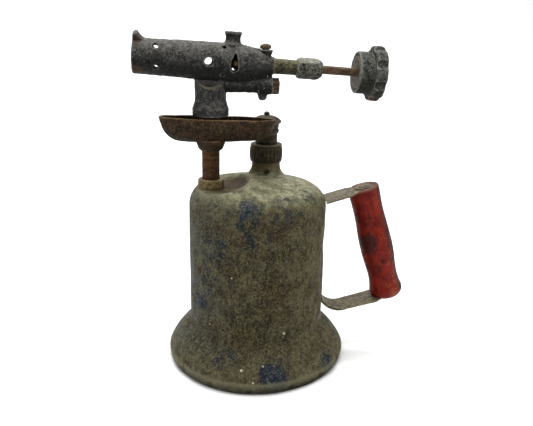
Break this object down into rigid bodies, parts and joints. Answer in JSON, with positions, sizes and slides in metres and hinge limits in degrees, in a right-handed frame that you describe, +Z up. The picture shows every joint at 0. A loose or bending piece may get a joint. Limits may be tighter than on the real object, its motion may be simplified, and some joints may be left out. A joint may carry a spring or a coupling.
{
  "type": "blow torch",
  "caption": "Antique liquid-fuel blow torch: pump-fed bell-foot tank, riser with priming cup, cast burner, needle valve with lobed knob, and red wooden grip.",
  "frame": {"origin": "on the tank's vertical axis, in the plane of the foot ring that it stands on", "axes": "+Z up along the tank's axis; -X is where the flame leaves, +X is the valve knob and the grip; +Y is the side of the pump"},
  "size_m": [0.2172, 0.144, 0.2583],
  "materials": {
    "tank_paint": "worn brass and steel with old paint, satin",
    "riser_brass": "dull, tarnished",
    "rusty_steel": "rusted, matte",
    "cup_iron": "rusted, rough",
    "burner_iron": "sooty sand casting, rough",
    "gland_metal": "dark patina",
    "needle_steel": "plain",
    "knob_composition": "weathered moulded composition, pitted",
    "knob_metal": "dull, stained",
    "pump_brass": "verdigris patina",
    "black_steel": "blackened",
    "wick_cotton": "woven cotton",
    "packing": "graphited packing cord",
    "leather": "oiled",
    "red_wood": "worn red paint",
    "strap_steel": "dull steel with rust"
  },
  "bodies": {
    "tank": {"tank_shell": "tank_paint", "tank_bottom": "tank_paint", "riser_bung": "riser_brass", "check_valve_body": "riser_brass", "check_cap": "riser_brass", "pump_barrel": "riser_brass", "barrel_cap": "riser_brass", "gas_jet": "riser_brass", "riser_pipe": "rusty_steel", "suction_tube": "rusty_steel", "rear_plug": "rusty_steel", "top_screw": "rusty_steel", "drip_cup": "cup_iron", "burner_tube": "burner_iron", "burner_casting": "burner_iron", "rest_boss": "burner_iron", "gland_tube": "gland_metal", "packing_nut": "gland_metal", "check_spring": "needle_steel", "wick": "wick_cotton", "packing_ring": "packing", "neck_gasket": "leather", "grip": "red_wood", "upper_strap": "strap_steel", "lower_strap": "strap_steel", "handle_rod": "strap_steel", "handle_washer": "strap_steel", "handle_nut": "strap_steel"},
    "needle": {"valve_needle": "needle_steel"},
    "valve": {"valve_stem": "rusty_steel", "knob_drum": "knob_composition", "knob_face_plate": "knob_metal", "knob_wheel": "knob_composition", "knob_nut": "knob_metal"},
    "collar_ride": {"collar_washer": "leather"},
    "collar": {"pump_collar": "pump_brass"},
    "plunger": {"pump_knob": "pump_brass", "knob_rivet": "black_steel", "pump_rod": "needle_steel", "piston_plate": "pump_brass", "piston_leather": "leather", "piston_nut": "needle_steel"},
    "ball": {"check_ball": "needle_steel"}
  },
  "joints": [
    {"name": "valve_travel", "type": "slide", "parent": "tank", "child": "needle", "axis": [0.9983, 0, -0.0576], "range_m": [0, 0.00191]},
    {"name": "valve_turn", "type": "hinge", "parent": "needle", "child": "valve", "pos_m": [0.0229, 0, 0.23325], "axis": [0.9983, 0, -0.0576], "range_deg": [0, 540]},
    {"name": "collar_rise", "type": "slide", "parent": "tank", "child": "collar_ride", "axis": [0, 0, 1], "range_m": [0, 0.0015]},
    {"name": "collar_turn", "type": "hinge", "parent": "collar_ride", "child": "collar", "pos_m": [0.0086, 0.0241, 0.165], "axis": [0, 0, 1], "range_deg": [0, 300]},
    {"name": "pump_stroke", "type": "slide", "parent": "tank", "child": "plunger", "axis": [0, 0, 1], "range_m": [0, 0.065]},
    {"name": "check_lift", "type": "slide", "parent": "tank", "child": "ball", "axis": [0, 0, -1], "range_m": [0, 0.001], "stiffness_N_per_m": 60, "springref_m": -0.001, "deforming": ["check_spring"]}
  ],
  "couplings": [
    {"joint": "valve_turn", "follows": "valve_travel", "rad_per_m": 4947.4},
    {"joint": "collar_turn", "follows": "collar_rise", "rad_per_m": 3490.7}
  ]
}
